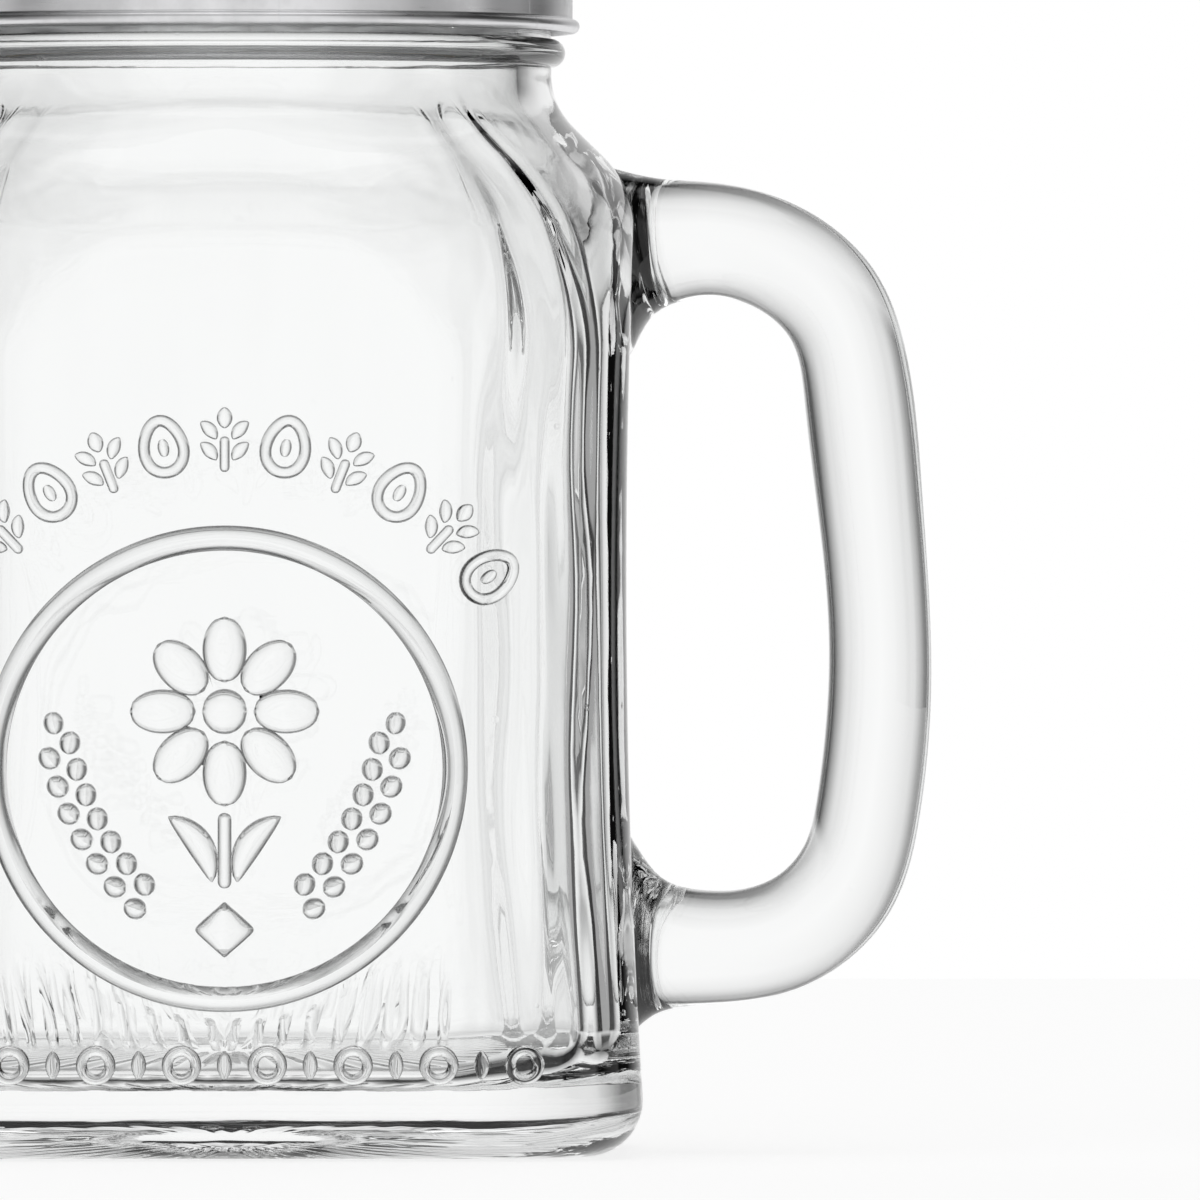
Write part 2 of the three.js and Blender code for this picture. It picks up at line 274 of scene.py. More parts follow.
def innerRows():
    # profile of the inner surface from the rim down to the middle of the floor: lip, bore, an
    # S-shaped shoulder by 3t^2 - 2t^3, the panel less the wall, then the heel as an arc whose sine
    # and cosine are taken to the heel's power, and the flat floor
    lip = jar["land"][0] - jar["bore"]
    bottom = jar["floor"] + jar["innerHeel"]
    start, end = jar["innerShoulder"]
    t = np.linspace(0, 1, 24)
    wide = panelHalfWidth(start) - jar["wall"]
    radius = wide + (jar["bore"] - wide) * smoothStep(0, 1, t)
    shoulder = np.column_stack([radius, start + (end - start) * t])
    panelZ = np.concatenate([np.linspace(bottom + 3, 80, 18), np.linspace(82, 95, 9)])
    bend = panelHalfWidth(bottom) - jar["wall"] - jar["innerHeel"]
    quarter = np.linspace(0, pi / 2, 17)
    soft = jar["heelPower"]
    return np.vstack([
        [[jar["land"][0], jarTop]],
        arcPoints(jar["land"][0], jarTop - lip, lip, pi / 2, pi, 5),
        linePoints((jar["bore"], jarTop - lip), (jar["bore"], end), 6)[:-1],
        shoulder[::-1],
        np.column_stack([panelHalfWidth(panelZ) - jar["wall"], panelZ])[::-1],
        np.column_stack([bend + jar["innerHeel"] * np.cos(quarter) ** soft,
                         bottom - jar["innerHeel"] * np.sin(quarter) ** soft]),
        np.column_stack([np.linspace(bend, 0.01, 10)[1:], np.full(9, jar["floor"])]),
    ])


def jarShell():
    # one closed skin, out and in: each profile row is a rounded square of its half width, with the
    # thread added on the neck, the waves on the inner wall and the flutes under the base
    outer, inner = outerRows(), innerRows()
    turn = evenAngles(jar["around"])
    angle = (turn + jar["crowding"] * np.sin(4 * turn))[None, :]
    profile = np.vstack([outer, inner])
    half, z = profile[:, :1], profile[:, 1:]
    isOuter = (np.arange(len(half)) < len(outer))[:, None]
    corner = np.where(isOuter, jar["corner"], jar["innerCorner"])
    radius = roundedSquare(angle, half, cornerAt(z, half, corner))
    beadTop = sum(jar["bead"])
    threaded = isOuter & (z > beadTop) & (half > jar["neck"] - 0.01)
    ridge = threadRise(angle, z, screwThread["jarStart"], screwThread["jarTurns"],
                       screwThread["jarDepth"], screwThread["jarHalf"])
    radius = radius + np.where(threaded, ridge, 0) + np.where(isOuter, 0, wallWaves(angle, z))
    underside = isOuter & (z < 1.5)
    lift = np.where(underside, baseFlutes(angle, radius), 0)
    points = np.stack([radius * np.cos(angle), radius * np.sin(angle), z + lift], -1)
    verts, faces = capped(points)
    return makeObject("glass_jar", verts, faces)


# the loop handle

handle = {
    # stations along the loop from the upper root to the lower one: the outer edge and the inner
    # edge facing it, as x, z pairs; the first and last lie inside the jar wall
    "stations": [
        (38.9, 105.5, 39.6, 82.4), (41.5, 104.75, 42.5, 84.8), (45.6, 103.85, 44.9, 89.0),
        (50.2, 103.5, 50.0, 91.1), (56.3, 102.5, 55.0, 90.5), (63.9, 98.9, 59.1, 87.6),
        (68.6, 94.2, 60.5, 84.9), (72.1, 85.3, 61.3, 79.6), (73.75, 71.5, 62.5, 69.5),
        (74.8, 52.5, 63.85, 52.0), (73.7, 36.6, 62.5, 37.2), (70.9, 26.4, 61.0, 32.2),
        (66.3, 20.7, 58.7, 29.6), (59.4, 16.9, 55.4, 28.1), (50.6, 15.55, 50.2, 27.85),
        (46.2, 14.9, 45.8, 29.3), (44.0, 13.6, 43.4, 32.4), (40.9, 10.4, 40.6, 37.0),
    ],
    "halfDepth": 6.4, "full": 0.97,
    "rootSpread": 2.6, "rootEnds": (41, 46.5),      # extra half depth at the jar, faded out over these x
    "along": 150, "around": 52,
}


def handleLoop():
    # each section is an oval between its outer and inner edge point: centre + cos^full * half
    # thickness in the XZ plane and sin^full * half depth along Y
    edges = splinePoints(handle["stations"], handle["along"])
    outer, inner = edges[:, :2], edges[:, 2:]
    centre = (outer + inner) / 2
    half = (outer - inner) / 2
    root = 1 - smoothStep(*handle["rootEnds"], centre[:, 0])
    depth = handle["halfDepth"] + handle["rootSpread"] * root ** 2
    a = evenAngles(handle["around"])
    c = signedPower(np.cos(a), handle["full"])
    s = signedPower(np.sin(a), handle["full"])
    x = centre[:, :1] + half[:, :1] * c
    z = centre[:, 1:] + half[:, 1:] * c
    y = depth[:, None] * s[None, :]
    verts, faces = capped(np.stack([x, y, z], -1))
    return makeObject("handle_loop", verts, faces)


# raised work on the front panel

emblem = {
    "centre": 41.1, "ring": 24.2, "ringHalf": 1.35, "ringRise": 2.0,
    "bite": 0.08,                     # how far every stroke is let into the panel
    "sink": 0.9, "sinkPower": 0.6,    # depth and fullness of the hidden underside
    "section": 16,
}


def panelDepth(x, z):
    # distance of the outer surface from the XZ plane: the panel's half-width on the flat, then the
    # round of the upright corner
    half = panelHalfWidth(z)
    flat = half - jar["corner"]
    past = np.clip(np.abs(x) - flat, 0, jar["corner"] - 0.01)
    return flat + np.sqrt(jar["corner"] ** 2 - past ** 2)


def bead(path, halfWidth, rise, closed=False, full=1.0):
    # a raised stroke along a path on the panel: across the stroke halfWidth * cos^full v, away from
    # the glass rise * sin^full v, and sunk into the wall below; full over 1 makes it a rounded roof,
    # under 1 a flat top
    path = np.asarray(path, float)
    n = len(path)
    halfWidth = np.broadcast_to(halfWidth, n)[:, None]
    rise = np.broadcast_to(rise, n)[:, None]
    if closed:
        along = np.roll(path, -1, 0) - np.roll(path, 1, 0)
    else:
        along = np.gradient(path, axis=0)
    along = along / np.linalg.norm(along, axis=1)[:, None]
    side = np.column_stack([-along[:, 1], along[:, 0]])
    v = evenAngles(emblem["section"])
    across = halfWidth * signedPower(np.cos(v), full)
    steep = np.abs(np.sin(v))
    lift = np.where(np.sin(v) > 0, rise * steep ** full, -emblem["sink"] * steep ** emblem["sinkPower"])
    x = path[:, :1] + side[:, :1] * across
    z = path[:, 1:] + side[:, 1:] * across
    points = np.stack([x, -(panelDepth(x, z) + lift - emblem["bite"]), z], -1)
    if closed:
        return points.reshape(-1, 3), gridFaces(n, emblem["section"], True).tolist()
    return capped(points)


def rounded(count, power=0.5):
    # width share along a stroke with round ends: (1 - (2t - 1)^2)^power
    t = np.linspace(0, 1, count)
    return np.maximum(1 - (2 * t - 1) ** 2, 0) ** power


def leaf(start, end, width, rise, bow=0.0, power=0.75, count=15, full=0.75):
    # a filled leaf between two points, bowed sideways by a parabola; its height follows its width
    # share to the power 0.4, so it stays domed up to its ends
    start, end = np.array(start, float), np.array(end, float)
    t = np.linspace(0, 1, count)[:, None]
    chord = end - start
    side = np.array([-chord[1], chord[0]])
    path = start + chord * t + side * bow * 4 * t * (1 - t)
    share = rounded(count, power)
    halfWidth = np.maximum(width / 2 * share, 0.02)
    return bead(path, halfWidth, rise * np.maximum(share, 0.05) ** 0.4, full=full)


def turnedPoints(points, angle, centre):
    # turned anticlockwise about the origin, then moved to the centre
    c, s = np.cos(angle), np.sin(angle)
    return np.asarray(points) @ np.array([[c, s], [-s, c]]) + np.asarray(centre)


def stroke(path, halfWidth, rise):
    # an even stroke whose two ends are rounded over its own half width
    path = np.asarray(path, float)
    s = np.concatenate([[0], np.cumsum(np.linalg.norm(np.diff(path, axis=0), axis=1))])
    end = np.clip(np.minimum(s, s[-1] - s) / halfWidth, 0, 1)
    share = np.sqrt(1 - (1 - end) ** 2)
    return bead(path, np.maximum(halfWidth * share, 0.02), rise * np.maximum(share, 0.05))


def endSpaced(start, end, halfWidth, count=14):
    # points along a straight stroke, closer together in its two round ends
    start, end = np.array(start, float), np.array(end, float)
    reach = halfWidth / np.linalg.norm(end - start)
    k = 1 - np.cos(np.linspace(0, pi / 2, 5))
    t = np.concatenate([reach * k, np.linspace(reach, 1 - reach, count - 8)[1:-1], 1 - reach * k[::-1]])
    return start + (end - start) * t[:, None]


def flowerParts():
    # a round flower with a stem and two leaves, its petals spaced evenly round the middle
    parts = []
    head = np.array([0, emblem["centre"] + 6.0])
    for k in range(8):
        a = pi / 2 + k * pi / 4
        ray = np.array([np.cos(a), np.sin(a)])
        petal = head + 3.0 * ray, head + 10.0 * ray
        parts.append(leaf(*petal, 4.7, 2.1, power=0.5, count=21, full=0.7))
    parts.append(leaf(head - (2.4, 0), head + (2.4, 0), 4.8, 2.3, power=0.5, count=21, full=0.9))
    foot = emblem["centre"] - 12.6
    parts.append(stroke(endSpaced((0, head[1] - 10.6), (0, foot), 0.75, 24), 0.75, 1.2))
    for side in (-1, 1):
        ends = (side * 1.3, foot + 0.6), (side * 6.0, foot + 7.6)
        parts.append(leaf(*ends, 2.9, 2.0, bow=side * 0.14, full=0.85))
    return parts


def sprayParts():
    # two sprays of raised grains that follow the ring: a tip grain over pairs set about a bowed
    # middle line
    parts = []
    start = np.array([8.9, emblem["centre"] - 13.4])
    end = np.array([17.3, emblem["centre"] + 1.9])
    chord = end - start
    for side in (-1, 1):
        for u in np.linspace(0, 1, 7):
            middle = start + chord * u + np.array([chord[1], -chord[0]]) * 0.07 * 4 * u * (1 - u)
            lean = np.arctan2(chord[1], chord[0]) + 0.28 * (2 * u - 1)
            ray = np.array([np.cos(lean), np.sin(lean)])
            across = np.array([-ray[1], ray[0]])
            for hand in (-1, 1):
                turn = lean + hand * 0.42
                out = np.array([np.cos(turn), np.sin(turn)])
                place = middle + across * hand * 1.24 + ray * 0.55 * hand
                ends = np.array([place - out * 1.28, place + out * 1.28]) * (side, 1)
                parts.append(leaf(*ends, 2.3, 2.2, power=0.5, count=13, full=1.1))
        tip = end + ray * 2.9
        ends = np.array([tip - ray * 1.2, tip + ray * 1.3]) * (side, 1)
        parts.append(leaf(*ends, 2.15, 2.1, power=0.5, count=13, full=1.1))
    return parts


def garlandParts():
    # eleven motifs on an arc over the ring, by turns an egg-shaped loop round a grain and a sprig;
    # the egg is x = a sin t (1 - 0.16 cos t), z = b cos t
    parts = []
    middle = 34.4
    for k, a in enumerate(np.radians(np.linspace(144, 36, 11))):
        place = np.array([0, emblem["centre"]]) + middle * np.array([np.cos(a), np.sin(a)])
        turn = a - pi / 2
        if k % 2 == 0:
            t = evenAngles(40)
            egg = np.column_stack([2.05 * np.sin(t) * (1 - 0.16 * np.cos(t)), 2.75 * np.cos(t)])
            parts.append(bead(turnedPoints(egg[::-1], turn, place), 0.66, 1.2, closed=True))
            grain = turnedPoints([(0, -1.15), (0, 0.85)], turn, place)
            parts.append(leaf(*grain, 1.25, 0.85, power=0.5, full=1.0))
        else:
            stem = turnedPoints(endSpaced((0, -3.3), (0, 0.5), 0.55), turn, place)
            parts.append(stroke(stem, 0.55, 0.9))
            tip = turnedPoints([(0, 1.25), (0, 3.6)], turn, place)
            parts.append(leaf(*tip, 1.7, 1.0, full=0.9))
            for low in (-2.1, 0.1):
                for hand in (-1, 1):
                    blade = turnedPoints([(hand * 0.85, low), (hand * 2.6, low + 1.9)], turn, place)
                    parts.append(leaf(*blade, 1.45, 1.0, bow=hand * 0.08, full=0.9))
    return parts


def footParts():
    # a row of small loops and grains just above the heel
    parts = []
    for k, x in enumerate(np.linspace(-31.5, 31.5, 15)):
        if k % 2 == 0:
            t = evenAngles(28)
            loop = np.column_stack([x + 1.5 * np.cos(t), 10.0 + 1.5 * np.sin(t)])
            parts.append(bead(loop, 0.6, 0.65, closed=True))
        else:
            parts.append(leaf((x, 8.4), (x, 11.6), 1.6, 0.65, full=0.9))
    return parts


def diamondParts():
    # a pillowed diamond under the flower: the stroke's half width is the tent 1 - |t| with its top
    # rounded by sqrt(t^2 + 0.012), and its height is level wherever the width is over a third
    half, middle = 3.0, emblem["centre"] - 16.9
    t = np.linspace(-1, 1, 25)
    share = 1 - np.sqrt(t ** 2 + 0.012) + 0.006
    share = np.maximum(share / share.max(), 0.01)
    path = np.linspace((0, middle - half), (0, middle + half), 25)
    return [bead(path, 3.1 * share, np.minimum(1, share * 3) * 2.0, full=0.8)]


def raisedWork():
    # the ring is a bead carried round x = r cos t, z = centre + r sin t; the rest joins it in one mesh
    t = evenAngles(220)
    ring = np.column_stack([emblem["ring"] * np.cos(t), emblem["centre"] + emblem["ring"] * np.sin(t)])
    parts = [bead(ring, emblem["ringHalf"], emblem["ringRise"], closed=True, full=1.3)]
    parts += diamondParts() + flowerParts() + sprayParts() + garlandParts() + footParts()
    verts, faces, shift = [], [], 0
    for points, quads in parts:
        verts.append(points)
        faces += [[i + shift for i in face] for face in quads]
        shift += len(points)
    return makeObject("raised_work", np.vstack(verts), faces)


# one casting from shell, handle and raised work

def facesOut(obj):
    # turns a closed mesh round if the sum of its signed tetrahedra is negative; gives its volume
    mesh = obj.data
    mesh.calc_loop_triangles()
    co = np.empty(len(mesh.vertices) * 3)
    mesh.vertices.foreach_get("co", co)
    tri = np.empty(len(mesh.loop_triangles) * 3, int)
    mesh.loop_triangles.foreach_get("vertices", tri)
    p = co.reshape(-1, 3)[tri.reshape(-1, 3)]
    volume = np.einsum("ij,ij->i", p[:, 0], np.cross(p[:, 1], p[:, 2])).sum() / 6
    if volume < 0:
        mesh.flip_normals()
    return abs(volume)


def joinedTo(base, addition):
    # a union modifier on the base, for baked to apply
    modifier = base.modifiers.new("join_" + addition.name, "BOOLEAN")
    modifier.operation = "UNION"
    modifier.solver = "MANIFOLD"
    modifier.object = addition


def baked(obj, *spent):
    # applies the modifiers and drops the tools they used
    graph = bpy.context.evaluated_depsgraph_get()
    mesh = bpy.data.meshes.new_from_object(obj.evaluated_get(graph))
    obj.modifiers.clear()
    obj.data = mesh
    for tool in spent:
        bpy.data.objects.remove(tool)
    return obj


def glassJar():
    shell, loop, work = jarShell(), handleLoop(), raisedWork()
    for piece in (shell, loop, work):
        volume = facesOut(piece) * 1e6
        print(piece.name, "volume cm3", round(volume, 2), "faces", len(piece.data.polygons))
    joinedTo(shell, loop)
    joinedTo(shell, work)
    baked(shell, loop, work)
    shell.data.shade_smooth()
    shell.data.set_sharp_from_angle(angle=radians(jar["sharpEdge"]))
    volume = facesOut(shell) * 1e6
    print("glass casting: volume cm3", round(volume, 2), "triangles", len(shell.data.loop_triangles))
    return shell


glass = glassJar()
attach(glass, "jar")
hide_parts("glass_body", "glass_handle")


# the two-piece lid

lid = {
    "wall": 0.6, "bend": 1.4, "roll": 0.75, "bore": 29.6, "hem": 0.32,      # the band
    "around": 288, "rows": 64,
    "sheet": 0.45, "edgeRound": 0.2, "crown": (0.25, 24),    # the disc; rise and radius of its crown
    "step": (29.8, 0.8),                                     # radius and depth
    "rings": [(9.5, 0.9, 0.22), (25.6, 1.1, -0.28)],         # pressed rings: radius, half width, rise
    "edgeTrim": (0.12, 0.1),                                 # cut edge, outside and inside
    "sealWidth": 2.1, "sealGroove": (0.10, 0.55),            # groove: depth and half width
}


def turnedSurface(name, profile, around, shift=None):
    # a closed profile of radius and height turned about Z; shift moves radii by angle and height
    profile = np.asarray(profile, float)
    a = evenAngles(around)
    radius = profile[:, :1] + 0 * a
    z = profile[:, 1:] + 0 * a
    if shift is not None:
        radius = radius + shift(a[None, :], profile[:, :1], z)
    points = np.stack([radius * np.cos(a), radius * np.sin(a), z], -1)
    return makeObject(name, points, gridFaces(len(profile), around, True).tolist())


def threadedBand():
    # a sheet profile turned about Z: rolled foot, straight skirt, bent top and a hemmed edge round
    # the bore; the helical thread is pressed inwards out of the inner skirt
    outside = bandHigh[0] - lid["roll"]
    inside = outside - lid["wall"]
    top, bottom = bandHigh[2], bandLow[2]
    under = top - lid["wall"]
    roll, bend, hem = lid["roll"], lid["bend"], lid["hem"]
    rows = np.linspace(bottom + 2 * roll, top - bend, lid["rows"])
    profile = np.vstack([
        arcPoints(outside, bottom + roll, roll, -pi / 2, pi / 3, 10),
        np.column_stack([np.full(lid["rows"], outside), rows]),
        arcPoints(outside - bend, top - bend, bend, 0, pi / 2, 9)[1:],
        linePoints((outside - bend, top), (lid["bore"] + hem, top), 8),
        arcPoints(lid["bore"] + hem, top - lid["wall"] / 2, lid["wall"] / 2, pi / 2, 1.5 * pi, 9),
        linePoints((lid["bore"] + hem, under), (outside - bend, under), 8),
        arcPoints(outside - bend, top - bend, bend - lid["wall"], pi / 2, 0, 7)[1:],
        np.column_stack([np.full(lid["rows"], inside), rows[::-1]]),
        [(inside + lid["wall"] / 2, bottom + 0.05)],
    ])

    def press(a, radius, z):
        start = screwThread["jarStart"] - screwThread["drop"]
        ridge = threadRise(a, z, start, screwThread["bandTurns"],
                           screwThread["bandDepth"], screwThread["bandHalf"])
        return -np.where(radius > inside - 0.01, ridge, 0)

    return turnedSurface("band_skirt", profile, lid["around"], press)


def pressedDisc():
    # sheet between an underside and a topside that share one contour: crown in the middle, two
    # pressed rings, a step down to the panel and a plain rim that holds the seal; every change of
    # level is a 3t^2 - 2t^3 step in radius
    outer, top, skirt = discHigh[0], discHigh[2], discLow[2]
    stepRadius, stepDepth = lid["step"]
    radius = np.concatenate([[0.01], np.linspace(0.8, 28.4, 70), np.linspace(28.6, 30.4, 14),
                             np.linspace(30.8, outer - lid["edgeRound"] - 0.05, 9)])
    contour = top - stepDepth * (1 - smoothStep(stepRadius - stepDepth, stepRadius + 0.3, radius))
    crownRise, crownRadius = lid["crown"]
    contour = contour + crownRise * (1 - smoothStep(0, crownRadius, radius))
    for place, half, rise in lid["rings"]:
        contour = contour + rise * (1 - smoothStep(0, half, np.abs(radius - place)))
    edge, sheet = lid["edgeRound"], lid["sheet"]
    outerTrim, innerTrim = lid["edgeTrim"]
    profile = np.vstack([
        np.column_stack([radius, contour]),
        arcPoints(outer - edge, top - edge, edge, pi / 2, 0, 6),
        [(outer, skirt + outerTrim), (outer - outerTrim, skirt), (outer - sheet + innerTrim, skirt),
         (outer - sheet, skirt + innerTrim), (outer - sheet, top - sheet)],
        np.column_stack([radius, contour - sheet])[::-1][3:],      # less the three under the rim's bend
    ])
    a = evenAngles(lid["around"] // 2)
    radii, heights = profile[:, :1], profile[:, 1:] + 0 * a
    verts, faces = capped(np.stack([radii * np.cos(a), radii * np.sin(a), heights], -1))
    return makeObject("pressed_disc", verts, faces)


def seal():
    # a moulded ring with full round edges and a shallow groove worn by the rim along its underside
    soft = (sealHigh[2] - sealLow[2]) / 2
    inner = sealHigh[0] - lid["sealWidth"]
    low = sealLow[2]
    middle = (inner + sealHigh[0]) / 2
    run = np.linspace(inner + soft, sealHigh[0] - soft, 15)[1:-1]
    depth, reach = lid["sealGroove"]
    groove = low + depth * (1 - smoothStep(0, reach, np.abs(run - middle)))
    profile = np.vstack([
        np.column_stack([run, groove]),
        arcPoints(sealHigh[0] - soft, low + soft, soft, -pi / 2, pi / 2, 8),
        arcPoints(inner + soft, low + soft, soft, pi / 2, 1.5 * pi, 8),
    ])
    return turnedSurface("seal_ring", profile, lid["around"] // 2)


band, disc, gasket = threadedBand(), pressedDisc(), seal()
for piece, body, node, slot in ((band, "band", "screw_band", "band_tinplate"),
                                (disc, "lid", "lid_disc", "disc_tinplate"),
                                (gasket, "lid", "sealing_ring", "soft_seal")):
    facesOut(piece)
    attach(piece, body)
    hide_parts(node)
    print(piece.name, "faces", len(piece.data.polygons))


# materials

def nodeTree(name):
    # a material that holds one Principled shader and its output
    material = bpy.data.materials.new(name)
    material.use_nodes = True
    tree = material.node_tree
    tree.nodes.clear()
    output = tree.nodes.new("ShaderNodeOutputMaterial")
    shader = tree.nodes.new("ShaderNodeBsdfPrincipled")
    tree.links.new(shader.outputs["BSDF"], output.inputs["Surface"])
    return material, tree, shader


def feed(tree, sockets, values):
    # a number is set on its socket, anything else is linked to it
    for socket, value in zip(sockets, values):
        if isinstance(value, (int, float)):
            socket.default_value = value
        else:
            tree.links.new(value, socket)


def mathNode(tree, operation, *values):
    node = tree.nodes.new("ShaderNodeMath")
    node.operation = operation
    feed(tree, node.inputs, values)
    return node.outputs[0]


def product(tree, *factors):
    result = factors[0]
    for factor in factors[1:]:
        result = mathNode(tree, "MULTIPLY", result, factor)
    return result


def blendNode(tree, share, first, second):
    # first where the share is 0, second where it is 1
    node = tree.nodes.new("ShaderNodeMix")
    feed(tree, (node.inputs[0], node.inputs[2], node.inputs[3]), (share, first, second))
    return node.outputs[0]


def twoTones(tree, shader, share, first, second):
    # base colour between two tones, in the same way
    node = tree.nodes.new("ShaderNodeMix")
    node.data_type = "RGBA"
    node.inputs[6].default_value = (*first, 1)
    node.inputs[7].default_value = (*second, 1)
    tree.links.new(share, node.inputs[0])
    tree.links.new(node.outputs[2], shader.inputs["Base Color"])


def setInputs(node, values):
    for label, value in values.items():
        node.inputs[label].default_value = value


def rampNode(tree, source, start, end):
    # 0 at start to 1 at end, straight between
    node = tree.nodes.new("ShaderNodeMapRange")
    setInputs(node, {"From Min": start, "From Max": end})
    tree.links.new(source, node.inputs["Value"])
    return node.outputs["Result"]


def stretched(tree, scale):
    # Object coordinates stretched by a scale along each axis
    place = tree.nodes.new("ShaderNodeTexCoord")
    mapping = tree.nodes.new("ShaderNodeMapping")
    setInputs(mapping, {"Scale": scale})
    tree.links.new(place.outputs["Object"], mapping.inputs["Vector"])
    return mapping.outputs["Vector"]


def noiseNode(tree, vector, scale, detail, rough=0.55):
    noise = tree.nodes.new("ShaderNodeTexNoise")
    tree.links.new(vector, noise.inputs["Vector"])
    setInputs(noise, {"Scale": scale, "Detail": detail, "Roughness": rough})
    return noise.outputs["Fac"]


def newGroup(name, inputs, outputs):
    # an empty node group with number inputs (name, default) and number outputs
    group = bpy.data.node_groups.new(name, "ShaderNodeTree")
    for label, value in inputs:
        socket = group.interface.new_socket(label, in_out="INPUT", socket_type="NodeSocketFloat")
        socket.default_value = value
    for label in outputs:
        group.interface.new_socket(label, in_out="OUTPUT", socket_type="NodeSocketFloat")
    return group, group.nodes.new("NodeGroupInput"), group.nodes.new("NodeGroupOutput")


def mouldMarkGroup():
    # what a mould or a roll leaves on a surface: height = swell * slow noise + wrinkle * noise
    # stretched flat into level lines - pits at the centres of a few sparse cells
    shares = [("Swell", 0.5), ("Wrinkle", 0.3), ("Pits", 0.5)]
    group, take, give = newGroup("mould_marks", shares, ["Height"])
    swell = noiseNode(group, stretched(group, (1, 1, 0.6)), 75, 2)
    wrinkle = noiseNode(group, stretched(group, (0.28, 0.28, 1.6)), 420, 3)
    patch = rampNode(group, noiseNode(group, stretched(group, (1, 1, 1)), 55, 1), 0.52, 0.68)
    cells = group.nodes.new("ShaderNodeTexVoronoi")
    group.links.new(stretched(group, (1, 1, 1)), cells.inputs["Vector"])
    setInputs(cells, {"Scale": 210})
    chance = group.nodes.new("ShaderNodeSeparateColor")
    group.links.new(cells.outputs["Color"], chance.inputs["Color"])
    rare = mathNode(group, "GREATER_THAN", chance.outputs["Red"], 0.90)
    pit = product(group, rampNode(group, cells.outputs["Distance"], 0.085, 0.03), rare)
    drop = product(group, pit, take.outputs["Pits"])
    lines = product(group, wrinkle, patch, take.outputs["Wrinkle"])
    height = mathNode(group, "ADD", product(group, swell, take.outputs["Swell"]), lines)
    group.links.new(mathNode(group, "SUBTRACT", height, drop), give.inputs["Height"])
    return group


# where the chilled ridges of the glass run, in metres like the Object coordinates they are read from
chillPlace = {
    "bottom": 0.0115, "top": 0.0208, "spacing": 0.0025,
    "fan": 7.0, "wander": 13.0,             # spread per metre of depth; radians that the noise adds
    "outsideRing": (0.0262, 0.0270), "fromMiddle": (0.0245, 0.0225),
    "fadeIn": 0.003, "fadeOut": 0.001,
}


def chillLineGroup():
    # wandering ridges under the ring, fanned outwards as they go down: height = crest of a sine of
    # (|x| - |y|) * (1 - fan * depth) + slow noise, kept between two levels, outside the ring and
    # within reach of the panel's middle
    levels = [(label, chillPlace[label.lower()]) for label in ("Bottom", "Top", "Spacing")]
    group, take, give = newGroup("chill_lines", levels, ["Height"])
    place = group.nodes.new("ShaderNodeTexCoord")
    split = group.nodes.new("ShaderNodeSeparateXYZ")
    group.links.new(place.outputs["Object"], split.inputs[0])
    x, y, z = split.outputs
    side = mathNode(group, "ABSOLUTE", x)
    across = mathNode(group, "SUBTRACT", side, mathNode(group, "ABSOLUTE", y))
    depth = mathNode(group, "SUBTRACT", take.outputs["Top"], z)
    fan = mathNode(group, "MULTIPLY_ADD", depth, -chillPlace["fan"], 1.0)
    wander = noiseNode(group, stretched(group, (1, 1, 0.7)), 85, 1)
    phase = mathNode(group, "DIVIDE", product(group, across, fan), take.outputs["Spacing"])
    wander = product(group, wander, chillPlace["wander"])
    phase = mathNode(group, "MULTIPLY_ADD", phase, 2 * pi, wander)
    crest = rampNode(group, mathNode(group, "SINE", phase), 0.3, 1.0)
    rise = mathNode(group, "SUBTRACT", z, emblem["centre"] * mm)
    reach = mathNode(group, "MULTIPLY_ADD", side, side, product(group, rise, rise))
    reach = mathNode(group, "SQRT", reach)
    low = mathNode(group, "SUBTRACT", z, take.outputs["Bottom"])
    limits = [(depth, 0, chillPlace["fadeIn"]), (low, 0, chillPlace["fadeOut"]),
              (reach, *chillPlace["outsideRing"]), (side, *chillPlace["fromMiddle"])]
    crest = product(group, crest, *[rampNode(group, *limit) for limit in limits])
    group.links.new(crest, give.inputs["Height"])
    return group


def wearGroup():
    # dulling and fine scratches: dull = blotchy noise above a limit; scratch = thin crests of three
    # noises, each stretched another way; grain = noise drawn out in level lines
    group, take, give = newGroup("handling_wear", [("Dulling", 0.5), ("Scratches", 0.5)],
                                 ["Dull", "Scratch", "Grain"])
    blotch = rampNode(group, noiseNode(group, stretched(group, (1, 1, 1)), 120, 5, 0.62), 0.45, 0.72)
    group.links.new(product(group, blotch, take.outputs["Dulling"]), give.inputs["Dull"])
    crests = []
    for scale in ((900, 35, 60), (40, 760, 70), (70, 50, 840)):
        lines = noiseNode(group, stretched(group, scale), 1, 2)
        crests.append(rampNode(group, lines, 0.70, 0.74))
    scratch = mathNode(group, "MAXIMUM", mathNode(group, "MAXIMUM", crests[0], crests[1]), crests[2])
    group.links.new(product(group, scratch, take.outputs["Scratches"]), give.inputs["Scratch"])
    group.links.new(noiseNode(group, stretched(group, (30, 30, 2600)), 1, 4), give.inputs["Grain"])
    return group


mouldMarks, chillLines, handlingWear = mouldMarkGroup(), chillLineGroup(), wearGroup()
print("node groups", len(bpy.data.node_groups))


def placeGroup(tree, group, **values):
    # a group set into a material with its own values; gives its outputs
    node = tree.nodes.new("ShaderNodeGroup")
    node.node_tree = group
    setInputs(node, values)
    return node.outputs


def bumpFrom(tree, shader, height, strength, distance):
    bump = tree.nodes.new("ShaderNodeBump")
    setInputs(bump, {"Strength": strength, "Distance": distance})
    tree.links.new(height, bump.inputs["Height"])
    tree.links.new(bump.outputs["Normal"], shader.inputs["Normal"])


